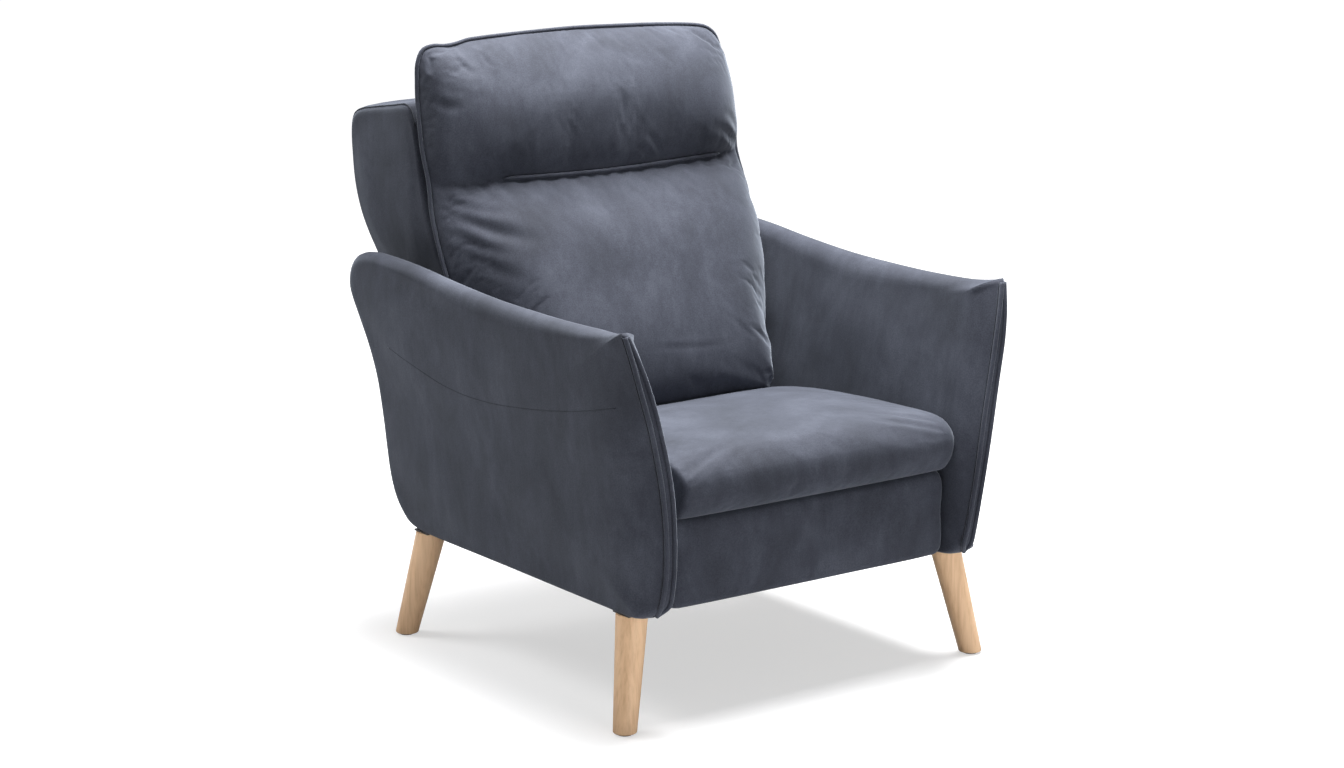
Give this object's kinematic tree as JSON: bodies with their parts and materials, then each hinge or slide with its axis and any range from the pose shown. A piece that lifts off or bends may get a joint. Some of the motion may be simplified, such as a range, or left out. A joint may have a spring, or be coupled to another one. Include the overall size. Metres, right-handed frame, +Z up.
{
  "type": "reclining armchair",
  "caption": "Upholstered push-back recliner armchair with winged sloping arms, loose-look back cushion, fold-out footrest and splayed tapered wooden legs.",
  "frame": {"origin": "on the floor, under the middle of the chair's overall size", "axes": "+Z up, the chair faces -Y, +X is the sitter's left"},
  "size_m": [0.7992, 0.979, 1.05],
  "materials": {
    "beech": "satin",
    "glide_plastic": "matte",
    "upholstery": "velvety microfibre",
    "frame_timber": "sawn",
    "plywood": "sanded",
    "felt": "matte",
    "webbing": "woven",
    "spring_steel": "drawn wire",
    "clip_plastic": "matte",
    "zinc_steel": "zinc plated",
    "black_steel": "satin powder coat"
  },
  "bodies": {
    "base": {"leg_front_left": "beech", "leg_front_right": "beech", "leg_rear_left": "beech", "leg_rear_right": "beech", "leg_plates": "black_steel", "leg_bolts": "zinc_steel", "leg_glides": "glide_plastic", "arm_cover_left": "upholstery", "arm_cover_right": "upholstery", "arm_rail_left": "frame_timber", "arm_rail_right": "frame_timber", "arm_panel_left": "plywood", "arm_panel_right": "plywood", "arm_bolts": "zinc_steel", "arm_spacers": "zinc_steel", "base_plate_left": "black_steel", "base_plate_right": "black_steel", "base_tube_front": "black_steel", "base_tube_rear": "black_steel"},
    "seat_carriage": {"seat_plate_left": "black_steel", "seat_plate_right": "black_steel", "track_rollers": "zinc_steel", "drive_pins": "zinc_steel", "seat_plate_bolts": "zinc_steel", "seat_side_rail_left": "frame_timber", "seat_side_rail_right": "frame_timber", "seat_front_rail": "frame_timber", "seat_rear_rail": "frame_timber", "seat_springs": "spring_steel", "spring_clips": "clip_plastic", "seat_felt": "felt", "seat_cushion": "upholstery", "hinge_springs": "spring_steel"},
    "backrest": {"back_board_left": "plywood", "back_board_right": "plywood", "back_top_rail": "frame_timber", "back_middle_rail": "frame_timber", "back_lower_rail": "frame_timber", "back_webbing": "webbing", "back_panel": "plywood", "back_bracket_left": "black_steel", "back_bracket_right": "black_steel", "back_bracket_bolts": "zinc_steel", "back_pins": "zinc_steel", "back_shell": "upholstery", "back_cushion": "upholstery"},
    "drive_links": {"drive_link_left": "black_steel", "drive_link_right": "black_steel", "knee_tube": "black_steel"},
    "carrier_links": {"carrier_link_left": "black_steel", "carrier_link_right": "black_steel"},
    "footrest": {"ankle_tube": "black_steel", "footrest_bracket_left": "black_steel", "footrest_bracket_right": "black_steel", "footrest_screws": "zinc_steel", "footrest_board": "plywood", "footrest_pad": "upholstery"}
  },
  "joints": [
    {"name": "seat_slide", "type": "slide", "parent": "base", "child": "seat_carriage", "axis": [0, -0.9945, 0.1045], "range_m": [0, 0.09]},
    {"name": "back_recline", "type": "hinge", "parent": "seat_carriage", "child": "backrest", "pos_m": [0, 0.1116, 0.335], "axis": [-1, 0, 0], "range_deg": [0, 30], "stiffness_Nm_per_rad": 60, "springref_deg": -51.57, "deforming": ["hinge_springs"]},
    {"name": "drive_swing", "type": "hinge", "parent": "seat_carriage", "child": "drive_links", "pos_m": [0, -0.2584, 0.285], "axis": [-1, 0, 0], "range_deg": [0, 150]},
    {"name": "carrier_swing", "type": "hinge", "parent": "drive_links", "child": "carrier_links", "pos_m": [0, -0.06144, 0.25027], "axis": [-1, 0, 0], "range_deg": [-115, 0]},
    {"name": "footrest_turn", "type": "hinge", "parent": "carrier_links", "child": "footrest", "pos_m": [0, -0.33838, 0.22604], "axis": [-1, 0, 0], "range_deg": [0, 55]}
  ],
  "couplings": [
    {"joint": "seat_slide", "follows": "back_recline", "m_per_rad": 0.17189},
    {"joint": "drive_swing", "follows": "back_recline", "ratio": 5},
    {"joint": "carrier_swing", "follows": "back_recline", "ratio": -3.8333},
    {"joint": "footrest_turn", "follows": "back_recline", "ratio": 1.8333}
  ]
}
